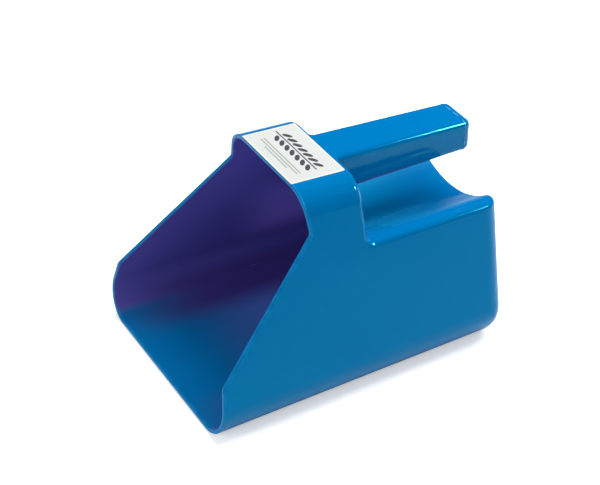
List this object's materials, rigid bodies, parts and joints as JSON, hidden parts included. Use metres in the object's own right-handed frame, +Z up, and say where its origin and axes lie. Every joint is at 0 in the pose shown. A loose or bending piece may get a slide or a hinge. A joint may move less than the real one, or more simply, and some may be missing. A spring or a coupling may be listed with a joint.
{
  "type": "feed scoop",
  "caption": "Enclosed animal-feed scoop in moulded plastic: slanted open mouth, hood, finger trough and a hollow box handle closed by a plug.",
  "frame": {"origin": "middle of the bounding box's footprint, on the plane the floor rests on", "axes": "+Z up; +Y along the handle, away from the mouth, which faces -Y; +X to the left of someone who looks into the mouth, and the two halves are mirror images about X = 0"},
  "size_m": [0.1698, 0.2347, 0.1481],
  "materials": {
    "scoop_plastic": "glossy injection-moulded polypropylene, mid blue",
    "plug_plastic": "the same glossy blue polypropylene, welded in",
    "label_film": "satin off-white printed film, self-adhesive"
  },
  "bodies": {
    "root": {"scoop_body": "scoop_plastic", "handle_plug": "plug_plastic", "label": "label_film"}
  },
  "joints": []
}
